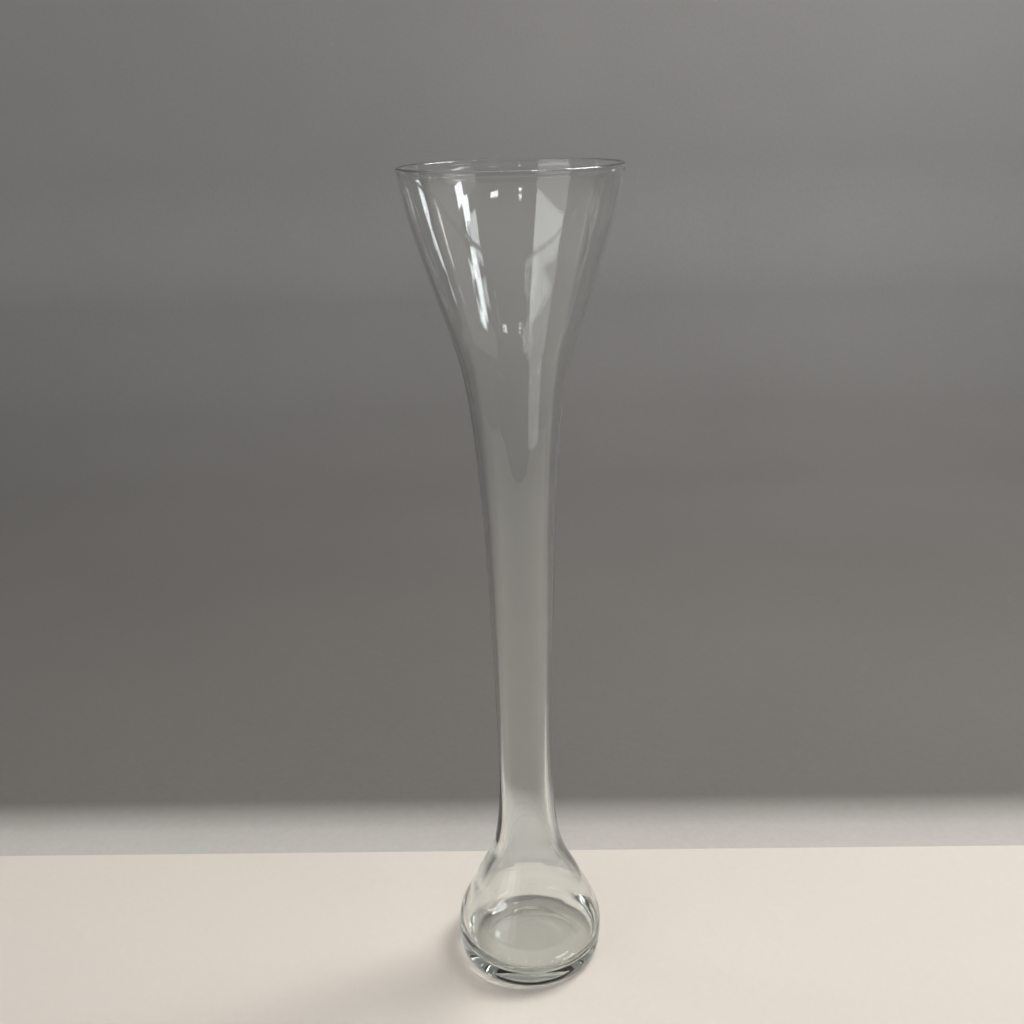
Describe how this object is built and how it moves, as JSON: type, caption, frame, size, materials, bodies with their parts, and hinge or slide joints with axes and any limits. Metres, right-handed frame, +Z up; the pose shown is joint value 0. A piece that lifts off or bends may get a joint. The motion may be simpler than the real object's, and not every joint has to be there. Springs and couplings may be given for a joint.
{
  "type": "glass bud vase",
  "caption": "Tall clear blown glass bud vase: flared trumpet mouth on a slender hollow stem over a round bulb with a thick flat base.",
  "frame": {"origin": "centre of the standing ring, on the surface that the vase stands on", "axes": "+Z up the vase's axis of revolution toward the mouth; X and Y lie in the standing surface, and any turn about Z looks the same"},
  "size_m": [0.0956, 0.0956, 0.4],
  "materials": {
    "clear_glass": "clear blown glass, fire-polished, faintly green",
    "thick_glass": "clear blown glass in a thick section, so its faint green shows more"
  },
  "bodies": {
    "root": {"base": "thick_glass", "bulb": "clear_glass", "neck": "clear_glass", "stem": "clear_glass", "trumpet": "clear_glass", "rim": "clear_glass"}
  },
  "joints": []
}
